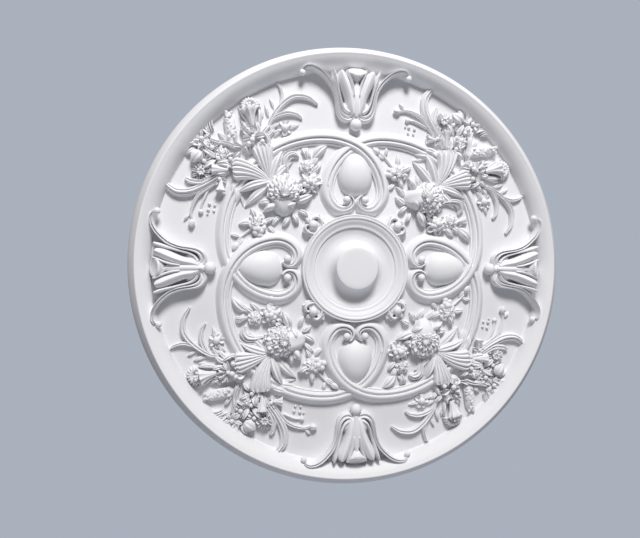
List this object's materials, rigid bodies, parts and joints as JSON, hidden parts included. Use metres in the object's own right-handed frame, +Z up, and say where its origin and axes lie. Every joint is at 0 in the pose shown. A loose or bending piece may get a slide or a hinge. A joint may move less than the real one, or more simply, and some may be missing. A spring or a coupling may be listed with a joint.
{
  "type": "ceiling rose",
  "caption": "Round moulded ceiling rose with a rounded rim, a middle dish for a lamp, interlaced straps, cabochons, tulips and sprays of flowers, fixed by its flat back.",
  "frame": {"origin": "middle of the flat back, where the rose meets the ceiling", "axes": "+Y out of the flat back towards the ceiling, the ornament faces -Y, +Z up across one pair of tulips as the rose stands upright, +X to the right. On a ceiling it is turned so that -Y points down."},
  "size_m": [0.9499, 0.054, 0.95],
  "materials": {
    "primed_white": "fine matt white primer on moulded rigid foam"
  },
  "bodies": {
    "root": {"ceiling_rose": "primed_white"}
  },
  "joints": []
}
